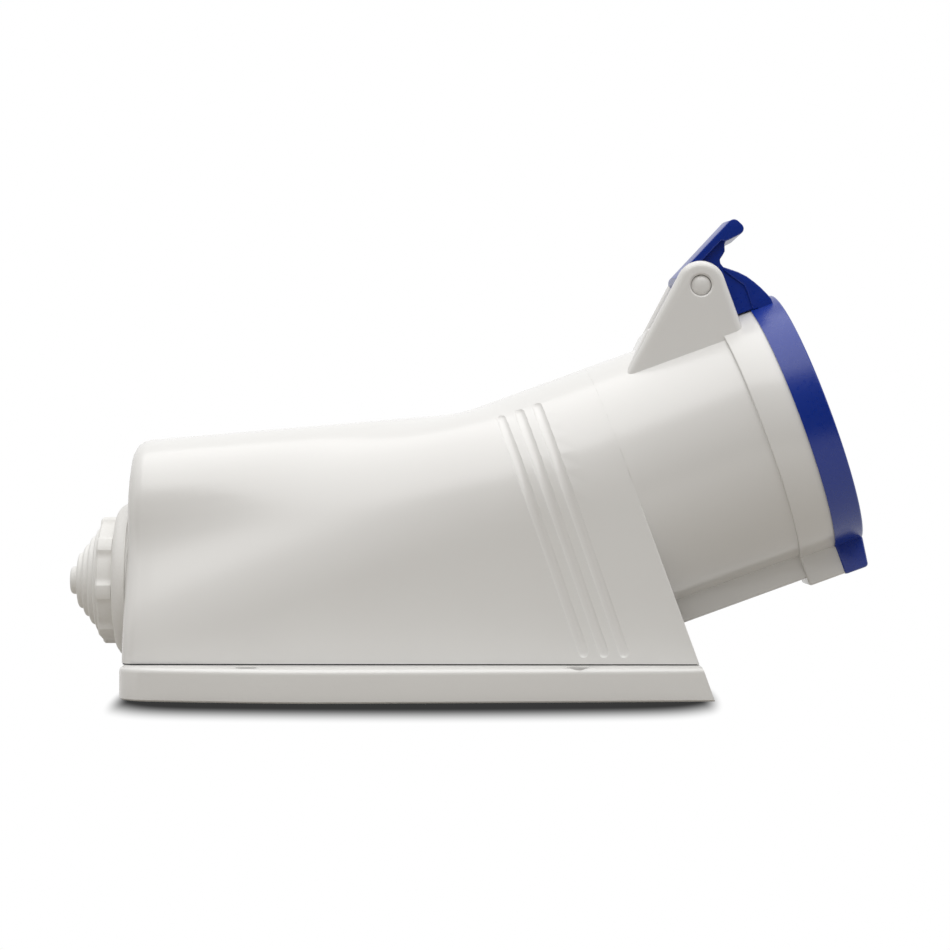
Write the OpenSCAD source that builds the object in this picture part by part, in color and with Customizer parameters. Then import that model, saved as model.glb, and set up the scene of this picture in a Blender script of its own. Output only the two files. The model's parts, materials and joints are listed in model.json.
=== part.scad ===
// Surface mount pin and sleeve socket, 32 A, two poles and earth, with a sprung lid.
// The back face lies on z = 0, +X points to the socket mouth and +Z away from the wall.
// Names that end in _u and _v are measured along and above the tilted barrel axis.

/* [Base] */
// Length of the base along X
base_len = 145.6; // [140:0.1:152]
// Height of the base up to the joint with the hood
base_h = 8.2; // [7.5:0.1:9.5]
// Half of the base's greatest width
base_half_w = 49.5; // [47:0.1:54]
// Narrowing of each side from the widest place to the back end
base_back_taper = 8.4; // [5:0.1:9]
// Narrowing of each side from the widest place to the front end
base_front_taper = 6.5; // [3:0.1:7]
// Radius of the two back corners in plan
base_corner_r = 8; // [5:0.5:9]
// Radius of the base's rounded upper edge
base_edge_r = 1.4; // [0.8:0.1:2]
// Thickness of the base's floor
base_floor = 2.6; // [2:0.1:3.5]
// Distance between wall screws along X
screw_pitch_x = 81; // [76:0.5:84]
// Distance of a wall screw from the base's greatest width
screw_edge = 7; // [6:0.1:8]
// Radius of a wall screw hole
screw_hole_r = 2.75; // [2:0.05:2.8]

/* [Hood] */
// Wall of the hood
wall = 2.4; // [2:0.1:2.6]
// Joint between hood and base, filled by the gasket
joint_gap = 0.3; // [0.2:0.05:0.5]
// Angle of the barrel to the wall
tilt = 20; // [18:0.5:22]
// Height of the barrel axis over the middle of the base
axis_z = 32.5; // [32:0.1:34]
// Outward slope of the side walls below the barrel axis
side_draft = 2.1; // [1:0.1:3]
// Height of the rear ridge over the middle of the base
ridge_top = 70.3; // [69:0.1:72]
// Rise of the rear ridge towards the barrel
ridge_slope = 4.8; // [3:0.1:5.5]
// Radius of the ridge at the back end
ridge_back_r = 21; // [20.5:0.1:23]
// Radius of the ridge where it meets the barrel
ridge_front_r = 24; // [23:0.1:26]
// Width of the soft hollow between ridge and barrel at the sides
blend_side = 9; // [5:0.5:12]
// Width of the same hollow on the roof line
blend_top = 1.2; // [0.5:0.1:3]
// Radius of the edge round the back end
hood_edge_r = 4; // [2:0.1:4.5]
// Depth of the three side grooves
groove_depth = 0.6; // [0.3:0.05:0.9]
// Width of a side groove
groove_w = 2.3; // [1.8:0.1:2.8]
// Distance from groove to groove
groove_pitch = 4.65; // [4:0.05:5.2]

/* [Barrel] */
// Radius of the bore that takes the plug's shroud
bore_r = 29.4; // [28.5:0.1:30]
// Wall of the barrel
barrel_wall = 3.1; // [2.8:0.1:3.4]
// Front of the hood, where the barrel comes out
front_u = 58.4; // [56:0.1:60]
// Face of the collar, where the lid closes
face_u = 104.4; // [102:0.1:106]
// Length of the collar
collar_len = 9.5; // [8:0.1:11]
// Step from the barrel up to the collar
collar_step = 0.9; // [0.6:0.1:1.2]
// Length of the lip that the lid closes over
lip_len = 2; // [1.5:0.1:2.5]
// Half of the width of the key ridge
key_half_w = 6.5; // [6:0.1:8]
// Height of the key ridge under the barrel
key_h = 5.5; // [5:0.1:6.5]
// Wall of the key ridge
key_wall = 2; // [1.5:0.1:2.4]

/* [Hinge] */
// Distance of the pivot behind the collar's face
pivot_back = 11.9; // [11.4:0.1:12.4]
// Height of the pivot over the barrel
pivot_rise = 9.3; // [9:0.1:10]
// Radius of the hinge pin
pin_r = 2.6; // [2.2:0.05:2.8]
// Radius of an ear round the pivot
ear_r = 6.3; // [5.8:0.1:6.5]
// Thickness of an ear
ear_t = 4.2; // [3.5:0.1:5]
// Half of the width over both ears
ear_half_w = 18.7; // [17.5:0.1:20]

/* [Lid] */
// Step from the collar up to the lid's cap
lid_step = 0.4; // [0.2:0.1:1]
// Thickness of the cap's front wall
lid_front = 2.4; // [2:0.1:3]
// Thickness of the cap's rim
lid_rim = 2.1; // [1.8:0.1:2.2]
// Rounding of the cap's front edge
lid_edge_r = 1.2; // [0.6:0.1:1.8]
// Thickness of the lift tab
tab_t = 1.8; // [1.5:0.1:2.2]
// Thickness of the lid's sealing ring
seal_t = 1.6; // [1.2:0.1:2]
// Wire radius of the lid spring
spring_wire_r = 0.6; // [0.4:0.05:0.7]
// Turns of the lid spring
spring_turns = 6; // [4:1:8]

/* [Contacts] */
// Gap round the carrier that the plug's shroud enters
shroud_gap = 4.5; // [4.4:0.1:5.4]
// Depth of the carrier's face behind the barrel's mouth
face_depth = 8.4; // [7:0.1:10]
// Radius of the circle of contacts
contact_circle_r = 12.2; // [11.5:0.1:12.8]
// Radius of a line or neutral pin
pole_pin_r = 3; // [2.8:0.05:3.1]
// Radius of an earth pin
earth_pin_r = 4; // [3.6:0.05:4.1]
// Wall of a contact sleeve
sleeve_wall = 1.4; // [1.2:0.1:1.6]
// Length of a contact bore
bore_len = 24; // [20:0.5:27]

/* [Gland] */
// Height of the gland axis over the back face
gland_z = 28; // [27.5:0.1:28.5]
// Radius of the gland flange
flange_r = 20; // [19.5:0.1:20.4]
// Thickness of the gland flange
flange_t = 3.8; // [3.6:0.1:5]
// Radius over the nut's ribs
nut_r = 16.5; // [16.3:0.1:17.4]
// Length of the nut
nut_len = 4; // [3.6:0.1:5]
// Radius of the gland's outer thread
thread_r = 14; // [13.5:0.1:14.2]
// Radius of the neck through the hood's back wall
neck_r = 12.5; // [12:0.1:13]
// Length of one step of the rubber cone
cone_step = 1.65; // [1.4:0.05:1.9]

/* [Hidden] */
$fn = 96;

// Clearances that every fit shares
run_fit = 0.08;
loose_fit = 0.3;
overlap = 1;
reach = 300;

back_x = -base_len / 2;
seam_z = base_h + joint_gap;
barrel_r = bore_r + barrel_wall;

// Places on the hood
ridge_from_x = back_x;
ridge_to_x = 5;
blend_fade_from_x = 12;
blend_fade_len = 28;
groove_first_u = front_u - 25.6;
groove_top_v = barrel_r - 4.6;
groove_low_z = seam_z + 2;
groove_count = 3;

// Places along the barrel
collar_r = barrel_r + collar_step;
mouth_u = face_u + lip_len;
lip_wall = 1.6;
lip_r = bore_r + lip_wall;
key_v = barrel_r + key_h;
collar_key_v = key_v + 2.2;
collar_key_half_w = key_half_w + 1.2;
slot_half_w = key_half_w - key_wall;
slot_v = key_v - key_wall;
key_edge = 0.5;

// Places in the carrier
carrier_r = bore_r - shroud_gap;
carrier_face_u = mouth_u - face_depth;
carrier_floor_u = front_u + 1.6;
carrier_back_u = front_u - 9.9;
carrier_plate_t = 2.5;
entry_wall = 2.6;
contact_front_u = carrier_face_u - entry_wall;
contact_back_u = carrier_back_u - carrier_plate_t - 15;
shoulder_t = 2.3;
boss_u = carrier_back_u + 2.6;
boss_hole_len = 5;
carrier_screw_y = bore_r - 3.9;
carrier_screw_v = 2.4 - bore_r;
carrier_ear_r = 4;

// Cover screws, seen from above
cover_screw_rows = [[back_x + 11.8, barrel_r - 7.3], [front_u - 13.4, barrel_r - 5.1]];
cover_screw_places = [for (p = cover_screw_rows, side = [-1, 1]) [p[0], side * p[1]]];
cover_screw_r = 1.7;
cover_boss_r = 4.2;
cover_boss_top = 23;
cover_tip_gap = 5;
cover_head_r = 3.2;
cover_head_h = 2;

// Pulls a value from a to b as t runs from 0 to 1, with soft ends
function soft(t) = let(c = min(max(t, 0), 1)) c * c * (3 - 2 * c);
function mix(a, b, t) = a + (b - a) * t;

// Joins two distances with a soft hollow k wide
function soft_min(a, b, k) = let(h = max(k - abs(a - b), 0) / k) min(a, b) - h * h * k / 4;

// Height over the barrel axis of a point in the hood's frame
function over_axis(x, z) = (z - axis_z) * cos(tilt) - x * sin(tilt);

// Distance of a point from the tilted arch that the barrel grows out of
function arch_distance(x, y, z) =
    let(v = over_axis(x, z))
    v > 0 ? norm([y, v]) - barrel_r : y - barrel_r + v * tan(side_draft);

// Distance of a point from the narrower ridge over the cable space
function ridge_distance(x, y, z) =
    let(t = min(max((x - ridge_from_x) / (ridge_to_x - ridge_from_x), 0), 1),
        r = mix(ridge_back_r, ridge_front_r, t),
        low = ridge_top + x * tan(ridge_slope) - r)
    z > low ? norm([y, z - low]) - r : y - r;

// Distance of a point from the whole hood: arch and ridge with a hollow between them
function hood_distance(x, y, z) =
    let(k = mix(blend_top, blend_side, soft(y / ridge_back_r)),
        fade = 1 - soft((x - blend_fade_from_x) / blend_fade_len))
    soft_min(arch_distance(x, y, z), ridge_distance(x, y, z), max(k * fade, 0.01));

// Point at distance d from the foot of a station, at an angle from the base
function ray(x, lean, z, a, d) =
    [x - d * sin(a) * sin(lean), d * cos(a), z + d * sin(a) * cos(lean)];

// Finds how far along a ray the hood's surface lies, sunk by an inset
function ray_length(x, lean, z, a, inset, lo = 0, hi = reach, n = 24) =
    let(mid = (lo + hi) / 2, p = ray(x, lean, z, a, mid))
    n == 0 ? mid :
    hood_distance(p[0], p[1], p[2]) > -inset ?
        ray_length(x, lean, z, a, inset, lo, mid, n - 1) :
        ray_length(x, lean, z, a, inset, mid, hi, n - 1);

// Depth of the side grooves where a ray meets the hood
function groove_at(depth, p) =
    p[2] < groove_low_z || over_axis(p[0], p[2]) > groove_top_v ? 0 : depth;

// One section of the hood: a closed ring that starts and ends at its foot
function hood_section(x, lean, z, inset, depth, steps) =
    let(half = [for (i = [0 : steps])
            let(a = 90 * i / steps,
                d = ray_length(x, lean, z, a, inset),
                g = groove_at(depth, ray(x, lean, z, a, d)))
            ray(x, lean, z, a, d - g)],
        other = [for (i = [steps - 1 : -1 : 0]) [half[i][0], -half[i][1], half[i][2]]])
    concat([[x, 0, z]], half, other);

// Lean of a station: upright at the back, square to the barrel at the front
function lean_at(x) = tilt * soft((x + 45) / 75);

// Where a plane square to the barrel meets the height z
function foot_x(u, z) = (u + (axis_z - z) * sin(tilt)) / cos(tilt);

// Skins a list of rings into one closed body; the end caps fan out from point 0
module skin(rings) {
    m = len(rings[0]);
    last = len(rings) - 1;
    sides = [for (i = [0 : last - 1], j = [0 : m - 1])
        let(a = i * m + j, b = i * m + (j + 1) % m)
        each [[a, b + m, b], [a, a + m, b + m]]];
    start = [for (j = [1 : m - 2]) [0, j, j + 1]];
    end = [for (j = [1 : m - 2]) [last * m, last * m + j + 1, last * m + j]];
    polyhedron([for (r = rings) each r], concat(start, sides, end));
}

// Stations of the hood's outside as [foot x, inset, groove depth]
module hood_outside(steps = 26) {
    round_end = [for (a = [0 : 22.5 : 90]) [back_x + hood_edge_r * (1 - cos(a)),
        hood_edge_r * (1 - sin(a)), 0]];
    first_groove_x = foot_x(groove_first_u, seam_z);
    groove_step_x = groove_pitch / cos(tilt);
    long_from = back_x + hood_edge_r;
    long_to = first_groove_x - groove_w;
    long_count = 26;
    middle = [for (i = [1 : long_count]) [mix(long_from, long_to, i / long_count), 0, 0]];
    grooves = [for (g = [0 : groove_count - 1], s = [-1, -0.6, 0, 0.6, 1])
        [first_groove_x + g * groove_step_x + s * groove_w / 2 / cos(tilt), 0,
            groove_depth * sqrt(1 - s * s)]];
    front = [for (t = [0.35, 0.7, 1])
        [mix(foot_x(groove_first_u + 2 * groove_pitch + groove_w / 2, seam_z),
            foot_x(front_u, seam_z), t), 0, 0]];
    skin([for (s = concat(round_end, middle, grooves, front))
        hood_section(s[0], lean_at(s[0]), seam_z, s[1], s[2], steps)]);
}

// The hollow in the hood, open to the base
module hood_inside(steps = 12) {
    low_z = seam_z - overlap;
    from_x = back_x + wall;
    to_x = foot_x(front_u - wall, low_z);
    count = 20;
    skin([for (i = [0 : count])
        let(x = mix(from_x, to_x, i / count))
        hood_section(x, lean_at(x), low_z, wall, 0, steps)]);
}

// Puts children in the barrel's frame: X along the axis, Z across it
module on_barrel() {
    translate([0, 0, axis_z]) rotate([0, -tilt, 0]) children();
}

// Round bar along the barrel axis
module along(u0, u1, r) {
    translate([u0, 0, 0]) rotate([0, 90, 0]) cylinder(h = u1 - u0, r = r);
}

// Square bar along the barrel axis with two chamfered lower edges
module key_bar(u0, u1, half_w, low_v, top_v, chamfer) {
    translate([u0, 0, 0]) rotate([90, 0, 90]) linear_extrude(u1 - u0)
        polygon([[-half_w, top_v], [-half_w, chamfer - low_v], [chamfer - half_w, -low_v],
            [half_w - chamfer, -low_v], [half_w, chamfer - low_v], [half_w, top_v]]);
}

// Plate that stands along the barrel, from a drawing of its side
module upright(width) {
    rotate([90, 0, 0]) linear_extrude(width, center = true) children();
}

// Bar across the barrel at the pivot
module across(r, half_w) {
    translate([pivot_u, 0, pivot_v]) rotate([90, 0, 0])
        cylinder(h = 2 * half_w, r = r, center = true);
}

pivot_u = face_u - pivot_back;
pivot_v = barrel_r + pivot_rise;
ear_foot = [front_u + 5, barrel_r - 8.5];
ear_apart = norm([pivot_u, pivot_v] - ear_foot);
ear_heading = atan2(pivot_v - ear_foot[1], pivot_u - ear_foot[0]) + asin(ear_r / ear_apart);
ear_web_h = 12;
ear_web_t = 4;
ear_web_out = 0.7;

// Side drawing of an ear: a round top over a sloping back and an upright front
module ear_side() {
    side = sqrt(ear_apart * ear_apart - ear_r * ear_r);
    touch = ear_foot + side * [cos(ear_heading), sin(ear_heading)];
    translate([pivot_u, pivot_v]) circle(r = ear_r);
    polygon([ear_foot, touch, [pivot_u, pivot_v], [pivot_u + ear_r, pivot_v],
        [pivot_u + ear_r, ear_foot[1]]]);
}

// Back wall between the ears, low enough for the tab to swing over
module ear_web() {
    top = ear_foot + [ear_web_h / tan(ear_heading) - ear_web_out, ear_web_h];
    polygon([ear_foot, top, top + [ear_web_t, 0], top + [ear_web_t, -ear_web_h]]);
}

ear_gap_half = ear_half_w - ear_t;
pin_head_r = pin_r + 0.3;
pin_head_depth = 0.6;

module hood() {
    color("whitesmoke") difference() {
        union() {
            difference() {
                hood_outside();
                hood_inside();
            }
            on_barrel() for (s = [-1, 1])
                translate([boss_u, s * carrier_screw_y, carrier_screw_v]) rotate([0, 90, 0])
                    cylinder(h = front_u - overlap - boss_u, r = carrier_ear_r - 0.4);
            for (p = cover_screw_places)
                translate([p[0], p[1], seam_z])
                    cylinder(h = cover_boss_top - seam_z, r = cover_boss_r);
        }
        on_barrel() {
            along(front_u - wall - overlap, front_u + overlap, bore_r);
            for (s = [-1, 1])
                translate([boss_u - overlap, s * carrier_screw_y, carrier_screw_v])
                    rotate([0, 90, 0]) cylinder(h = boss_hole_len + overlap, r = cover_screw_r);
        }
        translate([back_x - overlap, 0, gland_z]) rotate([0, 90, 0])
            cylinder(h = wall + 2 * overlap, r = neck_r + run_fit);
        for (p = cover_screw_places)
            translate([p[0], p[1], seam_z - overlap])
                cylinder(h = cover_boss_top - seam_z - 1, r = cover_screw_r);
    }
}

// Tube in front of the hood, with its collar, key ridge and hinge ears
module barrel() {
    color("whitesmoke") on_barrel() difference() {
        union() {
            along(front_u, face_u - overlap, barrel_r);
            along(face_u - collar_len, face_u, collar_r);
            along(face_u - overlap, mouth_u, lip_r);
            key_bar(front_u, face_u - overlap, key_half_w, key_v, 0, key_edge);
            key_bar(face_u - collar_len, face_u, collar_key_half_w, collar_key_v, 0, key_edge);
            for (s = [-1, 1])
                translate([0, s * (ear_half_w - ear_t / 2), 0]) upright(ear_t) ear_side();
            upright(2 * ear_half_w - ear_t) ear_web();
        }
        along(front_u - overlap, mouth_u + overlap, bore_r);
        key_bar(carrier_floor_u, mouth_u + overlap, slot_half_w, slot_v, 0, key_edge);
        across(pin_r + run_fit / 2, ear_half_w + overlap);
        for (s = [-1, 1])
            translate([pivot_u, s * ear_half_w, pivot_v]) rotate([90, 0, 0])
                cylinder(h = 2 * pin_head_depth, r = pin_head_r, center = true);
    }
}

// Half of the base's width at a place along X
base_wide_x = -24.5;
base_cut_x = base_len / 2 + 8;

function base_half(x) =
    let(back_t = max(base_wide_x - x, 0) / (base_wide_x - back_x),
        front_t = max(x - base_wide_x, 0) / (base_len / 2 - base_wide_x),
        in_corner = max(base_corner_r - (x - back_x), 0))
    base_half_w - base_back_taper * pow(back_t, 1.5) - base_front_taper * pow(front_t, 1.3)
        - base_corner_r + sqrt(base_corner_r * base_corner_r - in_corner * in_corner);

// Outline of the base in plan, once round
base_side_xs = concat(
    [for (a = [0 : 15 : 75]) back_x + base_corner_r * (1 - cos(a))],
    [for (i = [0 : 18]) mix(back_x + base_corner_r, base_cut_x, i / 18)]);
base_outline = concat(
    [for (x = base_side_xs) [x, -base_half(x)]],
    [for (i = [len(base_side_xs) - 1 : -1 : 0]) [base_side_xs[i], base_half(base_side_xs[i])]]);

// The same outline, moved inwards
function base_ring(z, inset) =
    let(n = len(base_outline))
    [for (i = [0 : n - 1])
        let(p = base_outline[i],
            d = base_outline[(i + 1) % n] - base_outline[(i + n - 1) % n],
            side = [-d[1], d[0]] / norm(d))
        [p[0] + side[0] * inset, p[1] + side[1] * inset, z]];

// The base before it is hollowed: its foot, its wall and its rounded upper edge
module base_block() {
    edge = [for (a = [90 : -22.5 : 0]) [base_h - base_edge_r * (1 - cos(a)), base_edge_r * (1 - sin(a))]];
    rings = concat([[-overlap, 0.4 + overlap], [0.4, 0]], edge,
        [[base_h + overlap, base_edge_r + overlap]]);
    intersection() {
        skin([for (e = rings) base_ring(e[0], e[1])]);
        translate([-reach / 2, -reach / 2, 0]) cube([reach, reach, base_h]);
    }
}

base_rim = 5;

module base_plate() {
    color("gainsboro") difference() {
        union() {
            difference() {
                base_block();
                translate([back_x + base_rim, base_rim - barrel_r, base_floor])
                    cube([base_len - 2 * base_rim - 4, 2 * (barrel_r - base_rim), base_h]);
            }
            for (p = cover_screw_places)
                translate([p[0], p[1], base_floor - overlap])
                    cylinder(h = seam_z - base_floor + overlap, r = cover_boss_r);
        }
        on_barrel() translate([front_u, -reach / 2, -reach / 2]) cube(reach);
        for (sx = [-1, 1], sy = [-1, 1])
            translate([sx * screw_pitch_x / 2, sy * (base_half_w - screw_edge), -overlap])
                cylinder(h = base_h + 2 * overlap, r = screw_hole_r);
        for (p = cover_screw_places) translate([p[0], p[1], -overlap]) {
            cylinder(h = seam_z + 2 * overlap, r = cover_screw_r + loose_fit);
            cylinder(h = cover_head_h + overlap, r = cover_head_r + loose_fit);
        }
    }
}

module base_gasket() {
    outer = 0.5;
    inner = 1.9;
    chamfer = 3;
    x0 = back_x;
    x1 = foot_x(front_u, seam_z);
    half = barrel_r + (axis_z - seam_z) * cos(tilt) * tan(side_draft);
    color("dimgray") translate([0, 0, base_h]) linear_extrude(joint_gap) difference() {
        polygon([[x0 + outer, chamfer - half], [x0 + chamfer, outer - half], [x1 - outer, outer - half],
            [x1 - outer, half - outer], [x0 + chamfer, half - outer], [x0 + outer, half - chamfer]]);
        polygon([[x0 + inner, chamfer - half], [x0 + chamfer, inner - half], [x1 - inner, inner - half],
            [x1 - inner, half - inner], [x0 + chamfer, half - inner], [x0 + inner, half - chamfer]]);
    }
}

lid_gap = 0.3;
lid_back_u = face_u + lid_gap;
lid_r = collar_r + lid_step;
lid_inner_r = lid_r - lid_rim;
lid_face_u = mouth_u + run_fit + seal_t;
lid_front_u = lid_face_u + lid_front;
lid_half_w = ear_gap_half - 0.6;
lid_key_half_w = collar_key_half_w + 0.4;
lid_key_back = 1.1;
knuckle_r = 5.4;
knuckle_w = 5.6;
spring_space_r = knuckle_r - 0.5;

// The lift tab in its own frame: s along the tab from the pivot, t away from it
tab_angle = 26.9;
tab_from_s = -4;
tab_to_s = 17.4;
tab_back_t = 5.85;
tab_crown = 0.9;
hook_r = 1.9;

// Section of the cap from its middle out to the rounded edge
module cap_section() {
    rim = [for (a = [0 : 22.5 : 90]) [lid_r - lid_edge_r * (1 - cos(a)),
        lid_front_u - lid_edge_r * (1 - sin(a))]];
    polygon(concat([[0, lid_back_u], [lid_r, lid_back_u]], rim, [[0, lid_front_u]]));
}

// Side drawing of the finger hook at the tab's end
module hook_side() {
    middle = [tab_to_s, tab_back_t - hook_r - 0.1];
    translate(middle) circle(r = hook_r);
    polygon([middle, [tab_to_s, middle[1] - hook_r], [16, 2.2], [14.9, 2.87], [13.7, 3.3], [11.5, 4.5]]);
}

// Lift tab: a plate with a crowned back that ends in the hook
module lift_tab() {
    crown_r = (lid_half_w * lid_half_w + tab_crown * tab_crown) / (2 * tab_crown);
    rotate([0, -tab_angle, 0]) {
        translate([tab_from_s, 0, 0]) rotate([90, 0, 90]) linear_extrude(tab_to_s - tab_from_s)
            intersection() {
                translate([-lid_half_w, tab_back_t - tab_t]) square([2 * lid_half_w, tab_t + tab_crown]);
                translate([0, tab_back_t + tab_crown - crown_r]) circle(r = crown_r, $fn = 360);
            }
        upright(2 * lid_half_w - 0.2) hook_side();
    }
}

// Upper edge of the arm that carries the cap, from the hook's web down to the cap
arm_edge = [[7.6, 2.6], [9, 1.5], [10.6, 0.2], [12.3, -1.6], [13.7, -3.7], [14.8, -5.7], [15.7, -7.7],
    [16.3, -9.2]];
arm_foot_v = -14;

// Side drawing of the web under the tab and the arm's thinner panel
module arm_side() {
    web = [[-4.7, 2.6], [12.2, 11.2], [12, 9.3], [10.8, 9], [9.9, 8.1], [9.3, 6.3], [8.4, 5.5], [7.4, 4.8],
        [7.2, 3.8]];
    polygon(concat(web, arm_edge, [[16.3, arm_foot_v], [4, arm_foot_v], [2, -3.4], [0, -3]]));
}

// Side drawing of the raised rib along the arm's edge
module arm_rib_side() {
    inner = [[10.8, arm_foot_v], [11, -5.6], [10.9, -3.6], [9.1, -1], [7.3, 1.6]];
    polygon(concat(arm_edge, [[16.3, arm_foot_v]], inner));
}

module lid() {
    color("mediumblue") on_barrel() difference() {
        union() {
            rotate([0, 90, 0]) rotate_extrude() cap_section();
            key_bar(lid_back_u, lid_front_u - lid_key_back, lid_key_half_w, collar_key_v, 0, key_edge);
            translate([pivot_u, 0, pivot_v]) lift_tab();
            translate([pivot_u, 0, pivot_v]) upright(2 * lid_half_w - 4) arm_side();
            translate([pivot_u, 0, pivot_v]) upright(2 * lid_half_w - 3) arm_rib_side();
            for (s = [-1, 1])
                translate([0, s * (lid_half_w - knuckle_w / 2), 0]) across(knuckle_r, knuckle_w / 2);
        }
        along(lid_back_u - overlap, lid_face_u, lid_inner_r);
        along(pivot_u, lid_back_u, collar_r + 0.6);
        across(pin_r + run_fit, lid_half_w + overlap);
        across(spring_space_r, lid_half_w - knuckle_w);
    }
}

module lid_gasket() {
    color("dimgray") on_barrel() difference() {
        along(mouth_u + run_fit, lid_face_u, lid_inner_r - run_fit);
        along(mouth_u - overlap, lid_face_u + overlap, lid_inner_r - 3.6);
    }
}

// Coil of round wire on the hinge pin
module lid_spring() {
    coil_r = pin_r + spring_wire_r + run_fit / 2;
    half = lid_half_w - knuckle_w - 1.5;
    per_turn = 18;
    sides = 6;
    n = spring_turns * per_turn;
    rings = [for (i = [0 : n]) [for (j = [0 : sides - 1])
        let(a = 360 * j / sides, turn = 360 * i / per_turn, r = coil_r + spring_wire_r * cos(a))
        [r * cos(turn), mix(-half, half, i / n) + spring_wire_r * sin(a), r * sin(turn)]]];
    color("silver") on_barrel() translate([pivot_u, 0, pivot_v]) skin(rings);
}

module hinge_pin() {
    color("white") on_barrel() across(pin_r, ear_half_w - 0.1);
}

// Places of the three contacts as [across, above] the axis, and their pins
line_place = contact_circle_r * [cos(30), sin(30)];
neutral_place = contact_circle_r * [-cos(30), sin(30)];
earth_place = contact_circle_r * [0, -1];
poles = [[line_place, pole_pin_r], [neutral_place, pole_pin_r], [earth_place, earth_pin_r]];
pin_play = 0.02;
entry_play = 0.8;

function sleeve_r(pin) = pin + pin_play + sleeve_wall;

module at_place(p) {
    translate([0, p[0], p[1]]) children();
}

// Two ears that reach the screw bosses in the hood
module carrier_ears(u0, u1) {
    for (s = [-1, 1]) translate([u0, s * carrier_screw_y, carrier_screw_v]) rotate([0, 90, 0])
        cylinder(h = u1 - u0, r = carrier_ear_r);
    translate([u0, -carrier_screw_y, carrier_screw_v - carrier_ear_r])
        cube([u1 - u0, 2 * carrier_screw_y, 2 * carrier_ear_r]);
}

module carrier_screw_holes(u0, u1) {
    for (s = [-1, 1]) translate([0, s * carrier_screw_y, carrier_screw_v])
        along(u0, u1, cover_screw_r + loose_fit);
}

well_sides = 12;

// Well for a sleeve, with flat sides that leave the round sleeve its play
module well(u0, u1, r) {
    translate([u0, 0, 0]) rotate([0, 90, 0])
        cylinder(h = u1 - u0, r = (r + run_fit / 2) / cos(180 / well_sides), $fn = well_sides);
}

// Front block that the pins enter, in three segments that close round the sleeves
module contact_carrier() {
    color("royalblue") on_barrel() difference() {
        along(carrier_floor_u, carrier_face_u, carrier_r);
        for (c = poles) at_place(c[0]) {
            along(contact_front_u - overlap, carrier_face_u + overlap, c[1] + entry_play);
            well(carrier_floor_u - overlap, contact_front_u, sleeve_r(c[1]));
        }
        translate([0, -reach / 2, line_place[1] - run_fit / 2]) cube([reach, reach, run_fit]);
        translate([0, -run_fit / 2, line_place[1] - reach]) cube([reach, run_fit, reach]);
    }
}

// Flange behind the block, which closes the bore and carries the screw ears
module carrier_flange() {
    color("royalblue") on_barrel() difference() {
        union() {
            along(carrier_back_u, carrier_floor_u, bore_r - loose_fit);
            carrier_ears(carrier_back_u, boss_u);
        }
        for (c = poles) at_place(c[0]) {
            well(carrier_back_u - overlap, carrier_floor_u + overlap, sleeve_r(c[1]));
            well(carrier_back_u - overlap, carrier_back_u + shoulder_t, sleeve_r(c[1]) + 1.2);
        }
        carrier_screw_holes(carrier_back_u - overlap, boss_u + overlap);
    }
}

module carrier_plate() {
    back = carrier_back_u - carrier_plate_t;
    color("slategray") on_barrel() difference() {
        union() {
            along(back, carrier_back_u, carrier_r);
            carrier_ears(back, carrier_back_u);
        }
        for (c = poles) at_place(c[0])
            along(back - overlap, carrier_back_u + overlap, sleeve_r(c[1]) + run_fit / 2);
        carrier_screw_holes(back - overlap, carrier_back_u + overlap);
    }
}

ring_len = 2;
ring_depth = 0.5;
ring_u = contact_front_u - 5;
terminal_screw_r = 1.6;
screw_head_r = 3;
screw_slot_w = 0.8;
terminal_screw_u = contact_back_u + 5;
slit_w = 0.8;
slit_len = 14;

// One turned contact: slit sleeve in front, shoulder, and shank with a wire hole
module contact(place, pin) {
    r = sleeve_r(pin);
    color("goldenrod") on_barrel() at_place(place) difference() {
        union() {
            along(contact_back_u, contact_front_u - run_fit, r);
            along(carrier_back_u, carrier_back_u + shoulder_t - run_fit, r + 1.2);
        }
        along(contact_front_u - bore_len, contact_front_u + overlap, pin + pin_play);
        along(contact_back_u - overlap, contact_back_u + 11, pin - 0.4);
        translate([terminal_screw_u, 0, -r - overlap])
            cylinder(h = r + overlap, r = terminal_screw_r + 0.02);
        for (a = [0, 90]) rotate([45 + a, 0, 0])
            translate([contact_front_u - slit_len, -slit_w / 2, -2 * r])
                cube([slit_len + overlap, slit_w, 4 * r]);
        difference() {
            along(ring_u, ring_u + ring_len, r + overlap);
            along(ring_u - overlap, ring_u + ring_len + overlap, r - ring_depth);
        }
    }
}

module line_contact() {
    contact(line_place, pole_pin_r);
}

module neutral_contact() {
    contact(neutral_place, pole_pin_r);
}

module earth_contact() {
    contact(earth_place, earth_pin_r);
}

module contact_rings() {
    color("silver") on_barrel() for (c = poles) at_place(c[0]) difference() {
        along(ring_u + 0.1, ring_u + ring_len - 0.1, sleeve_r(c[1]));
        along(ring_u - overlap, ring_u + ring_len + overlap, sleeve_r(c[1]) - ring_depth);
    }
}

module terminal_screws() {
    color("silver") on_barrel() for (c = poles) at_place(c[0])
        translate([terminal_screw_u, 0, -sleeve_r(c[1])]) {
            translate([0, 0, -1.4]) cylinder(h = 1.4 + sleeve_wall + 1, r = terminal_screw_r);
            translate([0, 0, -3.4]) difference() {
                cylinder(h = 2, r = screw_head_r);
                translate([-screw_head_r - overlap, -screw_slot_w / 2, -overlap])
                    cube([2 * (screw_head_r + overlap), screw_slot_w, overlap + screw_slot_w]);
            }
        }
}

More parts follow.
